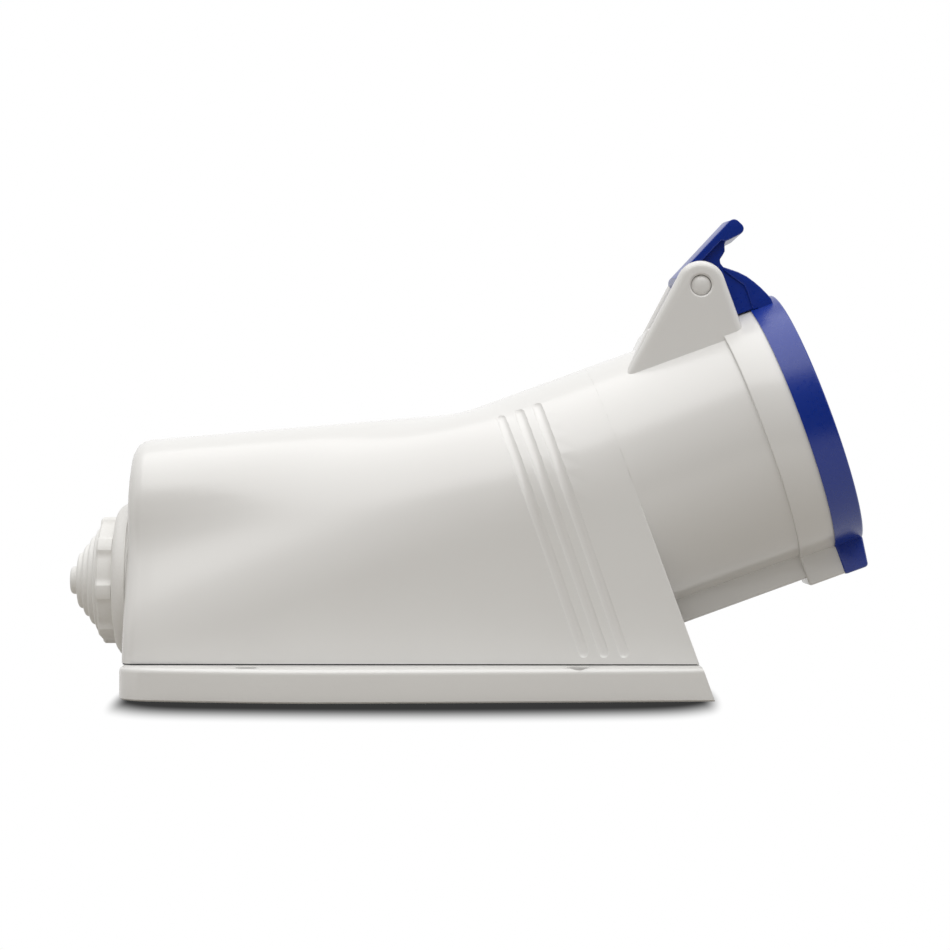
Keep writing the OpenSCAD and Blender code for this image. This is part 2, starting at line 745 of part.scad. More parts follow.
module carrier_screws() {
    back = carrier_back_u - carrier_plate_t;
    color("silver") on_barrel() for (s = [-1, 1])
        translate([0, s * carrier_screw_y, carrier_screw_v]) difference() {
            union() {
                along(back - 2, back, screw_head_r);
                along(back - overlap, boss_u + boss_hole_len - 0.5, cover_screw_r - 0.05);
            }
            translate([back - 2 - overlap, -screw_slot_w / 2, -screw_head_r - overlap])
                cube([overlap + screw_slot_w, screw_slot_w, 2 * (screw_head_r + overlap)]);
        }
}

// Puts children on the gland axis: Z runs out of the back wall
module on_gland() {
    translate([back_x, 0, gland_z]) rotate([0, -90, 0]) children();
}

washer_t = 0.6;
flange_out = washer_t + flange_t;
flange_edge_r = 3.4;
neck_wall = 2;
nut_out = flange_out + run_fit + nut_len;
nut_lip = 1.3;
thread_out = nut_out - nut_lip - 1.1;
locknut_t = 4;
mouth_gap = 0.4;
cone_r = thread_r - mouth_gap;

// Section of the gland body: neck, rounded flange and thread
module gland_section() {
    back = -wall - locknut_t - 1;
    edge = [for (a = [0 : 22.5 : 90]) [flange_r - flange_edge_r * (1 - cos(a)),
        flange_out - flange_edge_r * (1 - sin(a))]];
    outer_r = thread_r - run_fit;
    polygon(concat([[neck_r - neck_wall, back], [neck_r, back], [neck_r, washer_t], [flange_r, washer_t]],
        edge, [[outer_r, flange_out], [outer_r, thread_out], [neck_r - neck_wall, thread_out]]));
}

module gland_body() {
    color("white") on_gland() rotate_extrude() gland_section();
}

module gland_washer() {
    color("dimgray") on_gland() difference() {
        cylinder(h = washer_t, r = flange_r - 0.6);
        translate([0, 0, -overlap]) cylinder(h = washer_t + 2 * overlap, r = neck_r + run_fit / 2);
    }
}

nut_ribs = 8;
nut_rib_h = 1;
nut_rib_half = 5;
nut_rib_flank = 6;
nut_rib_turn = 36.5;
nut_edge = 0.5;

// Radius of the nut at an angle: ribs with soft flanks
function nut_radius(a) =
    let(pitch = 360 / nut_ribs,
        off = abs((a + 1.5 * pitch - nut_rib_turn) % pitch - pitch / 2))
    nut_r - nut_rib_h * soft((off - nut_rib_half) / nut_rib_flank);

module nut_outline() {
    polygon([for (a = [0 : 2.5 : 357.5]) nut_radius(a) * [cos(a), sin(a)]]);
}

module gland_nut() {
    base = flange_out + run_fit;
    color("white") on_gland() translate([0, 0, base]) difference() {
        union() {
            linear_extrude(nut_len - nut_edge) nut_outline();
            translate([0, 0, nut_len - nut_edge])
                linear_extrude(nut_edge, scale = 1 - nut_edge / nut_r) nut_outline();
        }
        translate([0, 0, -overlap]) cylinder(h = nut_len - nut_lip + overlap, r = thread_r + run_fit);
        cylinder(h = nut_len + overlap, r = cone_r + mouth_gap / 2);
    }
}

cone_steps = 4;
cone_skin = 1.4;
cone_fall = 2.1;
cone_edge = 0.5;

// Section of the stepped rubber cone; each step has a rounded shoulder
module cone_section() {
    start = nut_out - 0.4;
    steps = [for (i = [0 : cone_steps - 1])
        let(r = cone_r - cone_fall * i, z = start + cone_step * (i + 1))
        each [for (a = [0 : 30 : 90])
            [r - cone_edge * (1 - cos(a)), z - cone_edge * (1 - sin(a))]]];
    tip_r = 3.6;
    tip_z = start + cone_step * (cone_steps + 1.3);
    tip = [for (a = [0 : 30 : 90]) [tip_r - cone_edge * (1 - cos(a)), tip_z - cone_edge * (1 - sin(a))]];
    polygon(concat([[cone_r - 2, thread_out], [thread_r - run_fit, thread_out],
            [thread_r - run_fit, nut_out - nut_lip], [cone_r, nut_out - nut_lip]],
        steps, tip, [[0, tip_z], [0, tip_z - cone_skin],
            [cone_r - cone_fall * 3.4, start + cone_step * 3.4], [cone_r - 2, start]]));
}

module gland_cone() {
    color("lightgray") on_gland() rotate_extrude() cone_section();
}

module gland_locknut() {
    color("white") on_gland() translate([0, 0, -wall - locknut_t]) difference() {
        cylinder(h = locknut_t, r = neck_r + 4, $fn = 6);
        translate([0, 0, -overlap]) cylinder(h = locknut_t + 2 * overlap, r = neck_r + run_fit / 2);
    }
}

module cover_screws() {
    color("silver") for (p = cover_screw_places) translate([p[0], p[1], 0]) difference() {
        union() {
            translate([0, 0, 0.4]) cylinder(h = cover_head_h - 0.4, r = cover_head_r);
            translate([0, 0, cover_head_h - overlap])
                cylinder(h = cover_boss_top - cover_tip_gap - cover_head_h, r = cover_screw_r - 0.05);
        }
        for (a = [0, 90]) rotate([0, 0, a]) translate([-2, -0.45, 0]) cube([4, 0.9, 1.2]);
    }
}

base_plate();
hood();
barrel();
base_gasket();
lid();
lid_gasket();
lid_spring();
hinge_pin();
contact_carrier();
carrier_flange();
carrier_plate();
line_contact();
neutral_contact();
earth_contact();
contact_rings();
terminal_screws();
carrier_screws();
gland_body();
gland_washer();
gland_nut();
gland_cone();
gland_locknut();
cover_screws();
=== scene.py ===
# %% [markdown]
# A wall socket for a round industrial plug. A warm white hood sits on a wide base, a tilted barrel
# takes the plug, and a blue lid on a sprung hinge keeps the rain out. A cable gland closes the back.
# The solids come in as a frame that fixes every size and joint. This lesson gives them soft moulded
# edges, models the small pieces that a plain solid lacks, and works out each plastic, rubber and
# metal. Lengths are in millimetres unless a name ends in M, and MM turns them into Blender's metres.

# %% Load the frame
import json
import math
import bpy
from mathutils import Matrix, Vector


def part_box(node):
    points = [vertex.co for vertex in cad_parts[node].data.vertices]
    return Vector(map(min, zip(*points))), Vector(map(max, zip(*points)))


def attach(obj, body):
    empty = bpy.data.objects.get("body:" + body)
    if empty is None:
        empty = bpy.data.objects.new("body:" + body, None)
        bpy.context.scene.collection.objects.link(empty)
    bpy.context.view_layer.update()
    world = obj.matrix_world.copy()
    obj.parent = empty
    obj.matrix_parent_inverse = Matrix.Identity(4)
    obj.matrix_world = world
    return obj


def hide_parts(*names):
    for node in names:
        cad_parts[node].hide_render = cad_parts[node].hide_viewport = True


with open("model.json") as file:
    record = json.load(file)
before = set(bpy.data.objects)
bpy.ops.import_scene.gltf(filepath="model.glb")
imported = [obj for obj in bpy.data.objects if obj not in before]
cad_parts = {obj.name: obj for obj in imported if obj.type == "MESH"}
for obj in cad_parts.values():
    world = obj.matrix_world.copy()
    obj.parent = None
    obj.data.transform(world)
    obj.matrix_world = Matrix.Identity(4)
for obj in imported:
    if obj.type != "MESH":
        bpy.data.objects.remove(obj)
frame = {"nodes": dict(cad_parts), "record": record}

MM = 0.001
scene = bpy.context.scene
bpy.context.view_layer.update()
print("solids loaded:", len(frame["nodes"]))

# %% [markdown]
# The photograph looks straight at the socket's side through a long lens. A camera can be matched by
# eye or worked out. Here a usual diameter for such a barrel gave the scale, and the lid's edge, which
# shows as a narrow oval, gave the distance. The picture is square, so one focal length in pixels is
# enough.

# %% Camera
PICTURE = 950
FOCAL_PIXELS = 2700
SENSOR = 36
CAMERA_PLACE = (15.34, -702, 55.33)
SIGHT_END_M = 50


def deselect():
    """Deselects everything, so that the next operator acts on its own piece alone."""
    bpy.ops.object.select_all(action="DESELECT")


deselect()
bpy.ops.object.camera_add(location=[c * MM for c in CAMERA_PLACE], rotation=(math.pi / 2, 0, 0))
camera = bpy.context.object
camera.name = "side_camera"
camera.data.sensor_width = SENSOR
camera.data.lens = FOCAL_PIXELS / PICTURE * SENSOR
camera.data.clip_end = SIGHT_END_M
scene.camera = camera
print("lens:", round(camera.data.lens, 1), "mm")

# %% [markdown]
# Colours are written as the hex values that a paint program shows. A shader works in linear light, so
# one function turns each of them round. A second small function adds a node, sets it up and links it.

# %% Colour and node helpers
def linear(hex_colour):
    """An sRGB hex colour as linear red, green, blue and alpha."""
    parts = [int(hex_colour[i:i + 2], 16) / 255 for i in (1, 3, 5)]
    return [c / 12.92 if c <= 0.04045 else ((c + 0.055) / 1.055) ** 2.4 for c in parts] + [1]


def add(tree, kind, values=None, **settings):
    """Adds a node. Settings are its own choices; values fill its inputs, or link to them."""
    node = tree.nodes.new(kind)
    for key, value in settings.items():
        setattr(node, key, value)
    for key, value in (values or {}).items():
        if isinstance(value, bpy.types.NodeSocket):
            tree.links.new(value, node.inputs[key])
        else:
            node.inputs[key].default_value = value
    return node


def new_material(name):
    """An empty material and its node tree."""
    material = bpy.data.materials.new(name)
    material.use_nodes = True
    material.node_tree.nodes.clear()
    return material, material.node_tree


print("middle grey in linear light:", round(linear("#808080")[0], 2))

# %% [markdown]
# The stage is one pale floor and an even sky, which both show as plain white to the camera. A plane
# is enough for the floor. It lies a hair below the foot, because two faces in one place flicker.

# %% Floor
FLOOR_SIZE_M = 6
FLOOR_DROP = 0.2

deselect()
bpy.ops.mesh.primitive_plane_add(size=FLOOR_SIZE_M, location=(0, 0, -FLOOR_DROP * MM))
floor = bpy.context.object
floor.name = "floor"
print("floor:", floor.dimensions.x, "m")

# %% [markdown]
# A wide foot on a white table shuts the light out close to its edge. A floor that is white to the
# camera shows no shadow by itself, so a shadow is painted on it: dark at the foot's outline and clear
# further off. Nodes measure the distance from the outline, which is a simple bulging shape with round
# corners here. The real one differs by less than the shadow's blur.

# %% Distance from the foot
BULGE = 7.5
CORNER = 22
CORNER_POWER = 6.0
END_FROM, END_TO = 0.95, 1.045
END_REACH = 50

floor_paper_and_shadow, tree = new_material("white paper sweep with painted shadow")
foot_low, foot_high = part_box("base_plate")
foot_half = (foot_high[0] - foot_low[0]) / 2
foot_middle = (foot_low[0] + foot_high[0]) / 2
place = add(tree, "ShaderNodeTexCoord")
axes = add(tree, "ShaderNodeSeparateXYZ", {"Vector": place.outputs["Object"]})
along_foot = add(tree, "ShaderNodeMath", {0: axes.outputs["X"], 1: 1 / foot_half,
                                          2: -foot_middle / foot_half}, operation="MULTIPLY_ADD")
bulge = add(tree, "ShaderNodeMath", {0: along_foot.outputs[0], 1: along_foot.outputs[0]},
            operation="MULTIPLY")
widest = add(tree, "ShaderNodeMath", {0: bulge.outputs[0], 1: -BULGE * MM, 2: foot_high[1]},
             operation="MULTIPLY_ADD")
corner = add(tree, "ShaderNodeMath", {0: bulge.outputs[0], 1: CORNER_POWER}, operation="POWER")
half_width = add(tree, "ShaderNodeMath", {0: corner.outputs[0], 1: -CORNER * MM, 2: widest.outputs[0]},
                 operation="MULTIPLY_ADD")
beside = add(tree, "ShaderNodeMath", {0: axes.outputs["Y"]}, operation="ABSOLUTE")
out_y = add(tree, "ShaderNodeMath", {0: beside.outputs[0], 1: half_width.outputs[0]}, operation="SUBTRACT")
past_y = add(tree, "ShaderNodeMath", {0: out_y.outputs[0], 1: 0}, operation="MAXIMUM")
ends = add(tree, "ShaderNodeMath", {0: along_foot.outputs[0]}, operation="ABSOLUTE")
out_x = add(tree, "ShaderNodeMapRange", {"Value": ends.outputs[0], "From Min": END_FROM, "From Max": END_TO,
                                         "To Max": END_REACH * MM}, clamp=False)
past_x = add(tree, "ShaderNodeMath", {0: out_x.outputs["Result"], 1: 0}, operation="MAXIMUM")
off_foot = add(tree, "ShaderNodeCombineXYZ", {"X": past_x.outputs[0], "Y": past_y.outputs[0]})
apart = add(tree, "ShaderNodeVectorMath", {0: off_foot.outputs[0]}, operation="LENGTH")
print("foot:", round(2 * foot_half / MM, 1), "mm long")

# %% [markdown]
# The distance now sets the painted shadow in the white of the floor. The table ends about a third of a
# metre in front, so its mirror image in a shiny piece ends there as well. Light that bounces up from the
# floor is that of a greyer paper, which keeps the underside of the barrel dark enough.

# %% White and painted shadow of the floor
# The painted shadow: darkest up to the first distance from the foot, white past the second.
DARK_FROM, CLEAR_FROM = 10, 52
DARKEST = 0.04
TABLE_GONE_M, TABLE_END_M = -0.42, -0.32
PAST_TABLE = 0.03


def shown_white(tree, path):
    """One for what the camera sees, straight or in a clear or shiny piece, and zero for other light."""
    seen = add(tree, "ShaderNodeMath", {0: path.outputs["Is Camera Ray"],
                                        1: path.outputs["Is Transmission Ray"]}, operation="MAXIMUM")
    shown = add(tree, "ShaderNodeMath", {0: seen.outputs[0], 1: path.outputs["Is Glossy Ray"]},
                operation="MAXIMUM")
    return shown.outputs[0]


# Painted shadow, worked out from the distance to the foot's outline.
painted_shadow = add(tree, "ShaderNodeMapRange", {"Value": apart.outputs["Value"], "From Min": DARK_FROM * MM,
                                        "From Max": CLEAR_FROM * MM, "To Min": DARKEST, "To Max": 1.0},
           interpolation_type="SMOOTHSTEP")
table_end = add(tree, "ShaderNodeMapRange", {"Value": axes.outputs["Y"], "From Min": TABLE_GONE_M,
                                             "From Max": TABLE_END_M, "To Min": PAST_TABLE, "To Max": 1.0},
                interpolation_type="SMOOTHSTEP")
mirrored = add(tree, "ShaderNodeMath", {0: painted_shadow.outputs["Result"], 1: table_end.outputs["Result"]},
               operation="MULTIPLY")
path = add(tree, "ShaderNodeLightPath")
# The camera sees the painted shadow; reflections see it cut off past the table's end.
white = add(tree, "ShaderNodeMix", {0: path.outputs["Is Glossy Ray"], 2: painted_shadow.outputs["Result"],
                                    3: mirrored.outputs[0]})
glow = add(tree, "ShaderNodeEmission", {"Color": white.outputs[0], "Strength": 1.0})
paper = add(tree, "ShaderNodeBsdfDiffuse", {"Color": linear("#A9A49C")})
pick = add(tree, "ShaderNodeMixShader", {"Fac": shown_white(tree, path), 1: paper.outputs[0],
                                         2: glow.outputs[0]})
add(tree, "ShaderNodeOutputMaterial", {"Surface": pick.outputs[0]})
floor.data.materials.append(floor_paper_and_shadow)
print("made", floor_paper_and_shadow.name)

# %% [markdown]
# The sky has two strengths. What the camera sees, and what shows in a shiny or clear piece, is plain
# white. The light that it gives is half as strong, so that pale plastic keeps its colour.

# %% Sky
SKY_LIGHT = 0.5
SKY_SEEN = 1.0

world = bpy.data.worlds.new("soft studio")
world.use_nodes = True
scene.world = world
tree = world.node_tree
tree.nodes.clear()
path = add(tree, "ShaderNodeLightPath")
even = add(tree, "ShaderNodeBackground", {"Color": linear("#FFFFFF"), "Strength": SKY_LIGHT})
white = add(tree, "ShaderNodeBackground", {"Color": linear("#FFFFFF"), "Strength": SKY_SEEN})
sky = add(tree, "ShaderNodeMixShader", {"Fac": shown_white(tree, path), 1: even.outputs[0],
                                        2: white.outputs[0]})
add(tree, "ShaderNodeOutputWorld", {"Surface": sky.outputs[0]})
print("sky gives", SKY_LIGHT, "and shows", SKY_SEEN)

# %% [markdown]
# One large soft box hangs above the socket and a little in front. It is wider than the object is
# long, so the ridge gets a broad highlight and the flanks fall off gently.

# %% Soft box
LAMP_PLACE_M = Vector((0.02, -0.28, 1.0))
LAMP_AIM_M = Vector((0.02, -0.2, 0))
LAMP_WIDE_M, LAMP_DEEP_M = 1.2, 1.5
LAMP_WATTS = 10.0

deselect()
bpy.ops.object.light_add(type="AREA", location=LAMP_PLACE_M)
lamp = bpy.context.object
lamp.name = "top_box"
lamp.data.shape = "RECTANGLE"
lamp.data.size = LAMP_WIDE_M
lamp.data.size_y = LAMP_DEEP_M
lamp.data.energy = LAMP_WATTS
lamp.rotation_euler = (LAMP_AIM_M - LAMP_PLACE_M).to_track_quat("-Z", "Y").to_euler()
print("lamp:", lamp.name, LAMP_WATTS, "W")

# %% [markdown]
# Behind a camera there is a dim room. Only shiny faces show it, so it is one grey screen that only
# reflections can see. It gives the lid its deep blue between the soft box above and the white table
# below.

# %% Dim room behind the camera
SCREEN_PLACE_M = (0, -0.95, 0.52)
SCREEN_WIDE_M, SCREEN_HIGH_M = 4, 1.03

deselect()
bpy.ops.mesh.primitive_plane_add(size=1, location=SCREEN_PLACE_M, rotation=(math.pi / 2, 0, 0))
room = bpy.context.object
room.name = "dim_room"
room.scale = (SCREEN_WIDE_M, SCREEN_HIGH_M, 1)
room.visible_camera = False
room.visible_diffuse = False
room.visible_transmission = False
room.visible_shadow = False
room_grey, tree = new_material("dim studio wall")
dusk = add(tree, "ShaderNodeEmission", {"Color": linear("#303030"), "Strength": 1.0})
add(tree, "ShaderNodeOutputMaterial", {"Surface": dusk.outputs[0]})
room.data.materials.append(room_grey)
print("screen:", SCREEN_WIDE_M, "by", SCREEN_HIGH_M, "m")

# %% [markdown]
# The hood and the base are moulded in polyamide, a tough nylon, and the lid is the same nylon
# coloured through in the blue that stands for 230 volts. A polished mould gives both a smooth skin:
# to the eye that is a soft but clear reflection, a faint orange peel one or two millimetres wide, and
# a slight change of shade where the melt flowed. Only colours and measures differ, so one function
# makes both.

# %% Glossy polyamide
NYLON_IOR = 1.53
PEEL_DEPTH = 0.05


def glossy_nylon(name, low, high, flow, peel, bump, rough):
    """A smooth moulded plastic. Flow marks and orange peel are each a width in mm and a noise detail."""
    material, tree = new_material(name)
    place = add(tree, "ShaderNodeTexCoord")
    marks = add(tree, "ShaderNodeTexNoise", {"Vector": place.outputs["Object"], "Scale": 1 / (flow[0] * MM),
                                             "Detail": flow[1]})
    tint = add(tree, "ShaderNodeMix", {0: marks.outputs["Fac"], 6: linear(low), 7: linear(high)},
               data_type="RGBA")
    waves = add(tree, "ShaderNodeTexNoise", {"Vector": place.outputs["Object"], "Scale": 1 / (peel[0] * MM),
                                             "Detail": peel[1]})
    skin = add(tree, "ShaderNodeBump", {"Height": waves.outputs["Fac"], "Strength": bump,
                                        "Distance": PEEL_DEPTH * MM})
    gloss = add(tree, "ShaderNodeMapRange", {"Value": waves.outputs["Fac"], "To Min": rough[0],
                                             "To Max": rough[1]})
    body = add(tree, "ShaderNodeBsdfPrincipled", {"Base Color": tint.outputs[2], "IOR": NYLON_IOR,
                                                  "Roughness": gloss.outputs["Result"],
                                                  "Normal": skin.outputs["Normal"]})
    add(tree, "ShaderNodeOutputMaterial", {"Surface": body.outputs[0]})
    print("made", name)
    return material


white_nylon = glossy_nylon("moulded polyamide, warm white", "#E3E1DE", "#E8E7E4",
                           flow=(60, 2), peel=(2, 2), bump=0.05, rough=(0.20, 0.26))
blue_nylon = glossy_nylon("moulded polyamide, signal blue", "#00298A", "#022E94",
                          flow=(25, 3), peel=(1.2, 0), bump=0.04, rough=(0.24, 0.34))

# %% [markdown]
# The gland is nylon too, but its mould was eroded by sparks, which leaves a fine matt grain. The cone
# is a soft rubber, duller still, and the seals are a dark one. The insert that holds the contacts is
# PBT, a stiff plastic that insulates well and has a finer grain. The grain is drawn a little coarser
# than it is, so that it shows.

# %% Matt plastics and rubbers
GRAIN_IOR = 1.5
GRAIN_BUMP = 0.5


def grained(name, low, high, grain, depth, roughness):
    """A matt moulded surface with a fine grain, whose width and depth are in mm."""
    material, tree = new_material(name)
    place = add(tree, "ShaderNodeTexCoord")
    sparks = add(tree, "ShaderNodeTexNoise", {"Vector": place.outputs["Object"], "Scale": 1 / (grain * MM),
                                              "Detail": 3})
    tint = add(tree, "ShaderNodeMix", {0: sparks.outputs["Fac"], 6: linear(low), 7: linear(high)},
               data_type="RGBA")
    skin = add(tree, "ShaderNodeBump", {"Height": sparks.outputs["Fac"], "Strength": GRAIN_BUMP,
                                        "Distance": depth * MM})
    body = add(tree, "ShaderNodeBsdfPrincipled", {"Base Color": tint.outputs[2], "IOR": GRAIN_IOR,
                                                  "Roughness": roughness, "Normal": skin.outputs["Normal"]})
    add(tree, "ShaderNodeOutputMaterial", {"Surface": body.outputs[0]})
    print("made", name)
    return material


gland_nylon = grained("spark-eroded polyamide, white", "#EAE8E4", "#F2F1EE", 0.6, 0.04, 0.6)
cone_rubber = grained("soft rubber, pale grey", "#ECEBE8", "#F3F2EF", 0.8, 0.03, 0.68)
seal_rubber = grained("EPDM seal, dark grey", "#2B2B2B", "#363636", 0.5, 0.03, 0.75)
carrier_plastic = grained("PBT insulator, blue", "#1B3F8E", "#22489A", 0.7, 0.02, 0.45)
plate_plastic = grained("PBT insulator, grey", "#8A8D90", "#979A9C", 0.7, 0.02, 0.5)

# %% [markdown]
# The contacts are turned brass and the screws and springs are zinc-plated steel. A lathe leaves fine
# rings, so on the brass the noise changes only along the barrel's axis; plating is a little cloudy
# all over.

# %% Brass and steel
TILT = math.radians(20)
ALONG_BARREL = Vector((math.cos(TILT), 0, math.sin(TILT)))


def metal(name, low, high, grain, rough, rings_along=None):
    """A bare metal whose shine varies a little, all over or in rings along an axis."""
    material, tree = new_material(name)
    place = add(tree, "ShaderNodeTexCoord")
    pattern = {"Vector": place.outputs["Object"], "Scale": 1 / (grain * MM), "Detail": 4}
    if rings_along:
        reach = add(tree, "ShaderNodeVectorMath", {0: place.outputs["Object"], 1: rings_along},
                    operation="DOT_PRODUCT")
        pattern = {"W": reach.outputs["Value"], "Scale": 1 / (grain * MM), "Detail": 4}
    cloud = add(tree, "ShaderNodeTexNoise", pattern, noise_dimensions="1D" if rings_along else "3D")
    tint = add(tree, "ShaderNodeMix", {0: cloud.outputs["Fac"], 6: linear(low), 7: linear(high)},
               data_type="RGBA")
    shine = add(tree, "ShaderNodeMapRange", {"Value": cloud.outputs["Fac"], "To Min": rough[0],
                                             "To Max": rough[1]})
    body = add(tree, "ShaderNodeBsdfPrincipled", {"Base Color": tint.outputs[2], "Metallic": 1.0,
                                                  "Roughness": shine.outputs["Result"]})
    add(tree, "ShaderNodeOutputMaterial", {"Surface": body.outputs[0]})
    print("made", name)
    return material


brass = metal("turned brass", "#C39A4E", "#DDBB76", 0.35, (0.16, 0.34), rings_along=ALONG_BARREL)
steel = metal("zinc-plated steel", "#AEB2B6", "#C2C5C8", 2.5, (0.22, 0.36))

# %% [markdown]
# The record names a slot for every solid. Each slot gets one of the finishes above, so that the
# pieces that show only when the lid is open are finished as well.

# %% Put a finish on every solid
finish_of_slot = {"body_white": white_nylon, "lid_blue": blue_nylon, "gland_white": gland_nylon,
                  "cone_rubber": cone_rubber, "seal_dark": seal_rubber, "carrier_blue": carrier_plastic,
                  "plate_grey": plate_plastic, "brass": brass, "steel": steel}
slot_of_node = {s["node"]: s["material_slot"] for s in frame["record"]["subparts"]}
body_of_node = {n: b for b, names in frame["record"]["behaviour"]["bodies"].items() for n in names}
for name, solid in frame["nodes"].items():
    solid.data.materials.clear()
    solid.data.materials.append(finish_of_slot[slot_of_node[name]])
print("finished solids:", len(frame["nodes"]))

# %% [markdown]
# The large shells and the pieces inside keep the shape of their solids. Each is copied, its loose
# triangles are merged, and shading by angle keeps the real edges crisp and the curves smooth. The
# copy then stands in for its solid, which is left as it was.

# %% Smooth copies
MERGE = 0.002
HOOD_SHARP_DEG, BASE_SHARP_DEG, SMALL_SHARP_DEG = 24, 40, 30


def only(piece):
    """Selects one piece and makes it active."""
    deselect()
    piece.select_set(True)
    bpy.context.view_layer.objects.active = piece


def merge_points():
    """Merges the points of the active piece that fall together."""
    bpy.ops.object.mode_set(mode="EDIT")
    bpy.ops.mesh.select_all(action="SELECT")
    bpy.ops.mesh.remove_doubles(threshold=MERGE * MM)
    bpy.ops.object.mode_set(mode="OBJECT")


def put_in(piece, node):
    """Gives a piece the body of a solid and the finish of that solid's slot."""
    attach(piece, body_of_node[node])
    piece.data.materials.clear()
    piece.data.materials.append(finish_of_slot[slot_of_node[node]])
    print(piece.name, "has", len(piece.data.polygons), "faces")


def smooth_copy(node, piece_name, sharp_deg):
    """A copy of a solid with its triangles merged and shaded smooth up to an angle."""
    piece = frame["nodes"][node].copy()
    piece.data = piece.data.copy()
    piece.parent = None
    piece.name = piece_name
    for key in list(piece.keys()):
        del piece[key]
    scene.collection.objects.link(piece)
    only(piece)
    merge_points()
    bpy.ops.mesh.customdata_custom_splitnormals_clear()
    bpy.ops.object.shade_smooth_by_angle(angle=math.radians(sharp_deg))
    put_in(piece, node)
    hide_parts(node)
    return piece


hood_shell = smooth_copy("hood", "hood_shell", HOOD_SHARP_DEG)
base_shell = smooth_copy("base_plate", "base_shell", BASE_SHARP_DEG)
for node in ("gland_body", "gland_nut", "gland_locknut", "base_gasket", "lid_gasket", "lid_spring",
             "contact_carrier", "carrier_flange", "carrier_plate", "line_contact", "neutral_contact",
             "earth_contact", "contact_rings", "terminal_screws", "carrier_screws", "cover_screws"):
    smooth_copy(node, node + "_smooth", SMALL_SHARP_DEG)

# %% [markdown]
# The barrel, the hinge and the lid are modelled along the barrel's own axis, where they are simple,
# and tipped up by twenty degrees in one move. Two helpers make a raw piece: one turns a section round
# the axis as a lathe does, and one cuts a plate to a side drawing. A ring of radius AXIS_R is so
# small that merging closes it.

# %% Turned pieces and plates
AXIS_R = 0.02
CLOSE_RING = 0.05


def bake_place(piece):
    """Puts a piece's place, turn and scale into its mesh."""
    only(piece)
    bpy.ops.object.transform_apply(location=True, rotation=True, scale=True)


def turned(name, section, sides=128):
    """Sweeps a section of (along, radius) points round the axis. An end off the axis is left open."""
    deselect()
    along, radius = section[0]
    bpy.ops.mesh.primitive_circle_add(vertices=sides, radius=radius * MM, location=(along * MM, 0, 0),
                                      rotation=(0, math.pi / 2, 0))
    piece = bpy.context.object
    piece.name = name
    bake_place(piece)
    bpy.ops.object.mode_set(mode="EDIT")
    bpy.ops.mesh.select_all(action="SELECT")
    for (a, r), (b, q) in zip(section, section[1:]):
        bpy.ops.mesh.extrude_edges_move(TRANSFORM_OT_translate={"value": ((b - a) * MM, 0, 0)})
        bpy.ops.transform.resize(value=(1, q / r, q / r), center_override=(b * MM, 0, 0))
    bpy.ops.mesh.select_all(action="SELECT")
    bpy.ops.mesh.remove_doubles(threshold=CLOSE_RING * MM)
    bpy.ops.mesh.normals_make_consistent(inside=False)
    bpy.ops.object.mode_set(mode="OBJECT")
    return piece


def plate(name, drawing, half_w, layers=1):
    """A plate with a side drawing of (along, above) points, built up across in layers."""
    deselect()
    bpy.ops.mesh.primitive_circle_add(vertices=len(drawing), fill_type="NGON")
    piece = bpy.context.object
    piece.name = name
    for vertex, (along, above) in zip(piece.data.vertices, drawing):
        vertex.co = (along * MM, -half_w * MM, above * MM)
    bpy.ops.object.mode_set(mode="EDIT")
    bpy.ops.mesh.select_all(action="SELECT")
    for layer in range(layers):
        bpy.ops.mesh.extrude_region_move(TRANSFORM_OT_translate={"value": (0, 2 * half_w / layers * MM, 0)})
    bpy.ops.mesh.select_all(action="SELECT")
    bpy.ops.mesh.normals_make_consistent(inside=False)
    bpy.ops.object.mode_set(mode="OBJECT")
    return piece


def arc(centre, radius, from_deg, to_deg, steps):
    """Points on an arc, from one angle to another."""
    turns = [math.radians(from_deg + (to_deg - from_deg) * i / steps) for i in range(steps + 1)]
    return [(centre[0] + radius * math.cos(t), centre[1] + radius * math.sin(t)) for t in turns]


print("tilt:", round(math.degrees(TILT)), "degrees")

# %% [markdown]
# A mould never makes a knife edge, so a raw piece is rounded by a bevel. Holes and hollows are cut by
# a second piece. A cut can leave two points in one place, so such points are merged. At last the
# piece is tipped up with the barrel and put in the place of its solid.

# %% Rounding, cutting and setting down
AXIS_Z = 32.5
PIECE_SHARP_DEG = 40


def round_edges(piece, width, steps=3, from_deg=30):
    """Rounds every edge that turns by more than an angle."""
    only(piece)
    bpy.ops.object.modifier_add(type="BEVEL")
    bevel = piece.modifiers[-1]
    bevel.width = width * MM
    bevel.segments = steps
    bevel.limit_method = "ANGLE"
    bevel.angle_limit = math.radians(from_deg)
    bpy.ops.object.modifier_apply(modifier=bevel.name)


def cut_away(piece, cutter):
    """Takes one piece out of another, and drops the cutter."""
    only(piece)
    bpy.ops.object.modifier_add(type="BOOLEAN")
    bite = piece.modifiers[-1]
    bite.operation = "DIFFERENCE"
    bite.solver = "EXACT"
    bite.object = cutter
    bpy.ops.object.modifier_apply(modifier=bite.name)
    merge_points()
    bpy.data.objects.remove(cutter)


def set_down(piece, node, replaces=False):
    """Tips a piece up with the barrel, shades it and puts it in its solid's place."""
    piece.rotation_euler = (0, -TILT, 0)
    piece.location = (0, 0, AXIS_Z * MM)
    bake_place(piece)
    bpy.ops.object.shade_smooth_by_angle(angle=math.radians(PIECE_SHARP_DEG))
    put_in(piece, node)
    if replaces:
        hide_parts(node)


print("barrel's axis starts", AXIS_Z, "mm above the floor")

# %% [markdown]
# The cone at the back is soft rubber in rings, and a fitter cuts it at the ring that suits the cable.
# It comes out of a turned mould, so it is turned here too: every ring has a round shoulder and a flat
# step behind it.

